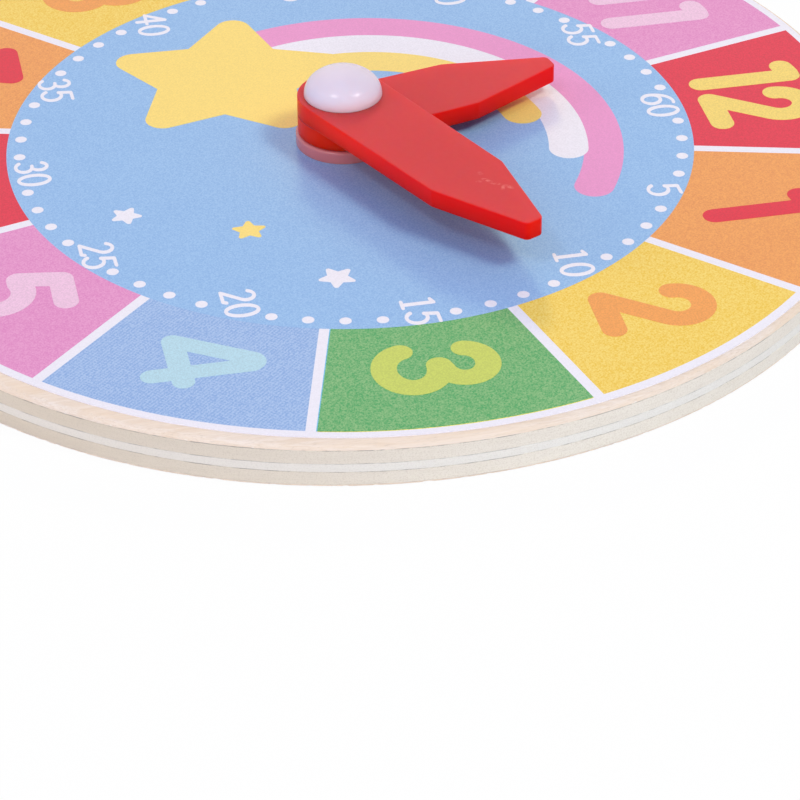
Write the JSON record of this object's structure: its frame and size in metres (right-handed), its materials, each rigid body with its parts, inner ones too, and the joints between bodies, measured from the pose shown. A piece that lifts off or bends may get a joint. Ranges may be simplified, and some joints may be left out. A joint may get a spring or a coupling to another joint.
{
  "type": "geared teaching clock",
  "caption": "Round plywood teaching clock with a printed dial, blunt-pointed plastic hands under a domed cap, and hidden gears that make the hour hand follow the minute hand.",
  "frame": {"origin": "middle of the flat back face that the board rests on", "axes": "+Z out of the dial along the hands' spindle, +Y to twelve o'clock, +X to three o'clock"},
  "size_m": [0.15, 0.15, 0.0181],
  "materials": {
    "face_veneer": "sanded birch face veneer",
    "core_ply": "sanded plywood edge",
    "centre_ply": "sanded plywood edge, cross grain",
    "back_veneer": "sanded birch back veneer",
    "dial_print": "satin printed sheet",
    "cover_plastic": "matt white moulding",
    "screw_steel": "bright zinc",
    "milky_plastic": "glossy, milky white",
    "gear_plastic": "matt white acetal",
    "spindle_steel": "drawn steel",
    "felt": "grey felt",
    "hand_red": "glossy red, slightly see-through"
  },
  "bodies": {
    "clock_board": {"face_veneer": "face_veneer", "upper_core_ply": "core_ply", "centre_ply": "centre_ply", "lower_core_ply": "core_ply", "back_veneer": "back_veneer", "dial_print": "dial_print", "back_cover": "cover_plastic", "cover_screws": "screw_steel", "centre_bush": "milky_plastic", "thrust_washer": "gear_plastic", "friction_washer": "felt", "idler_pin": "spindle_steel"},
    "minute_work": {"minute_arbor": "spindle_steel", "drive_pinion": "gear_plastic", "minute_hand": "hand_red", "dome_cap": "milky_plastic"},
    "idler_gear": {"idler_wheel": "gear_plastic", "idler_pinion": "gear_plastic"},
    "hour_work": {"hour_tube": "gear_plastic", "hour_wheel": "gear_plastic", "hour_hand": "hand_red"}
  },
  "joints": [
    {"name": "minute_turn", "type": "hinge", "parent": "clock_board", "child": "minute_work", "pos_m": [0, 0, 0], "axis": [0, 0, -1], "continuous": true},
    {"name": "idler_turn", "type": "hinge", "parent": "clock_board", "child": "idler_gear", "pos_m": [0, -0.018, 0], "axis": [0, 0, -1], "continuous": true},
    {"name": "hour_turn", "type": "hinge", "parent": "clock_board", "child": "hour_work", "pos_m": [0, 0, 0], "axis": [0, 0, -1], "continuous": true}
  ],
  "couplings": [
    {"joint": "idler_turn", "follows": "minute_turn", "ratio": -0.33333},
    {"joint": "hour_turn", "follows": "minute_turn", "ratio": 0.083333}
  ]
}
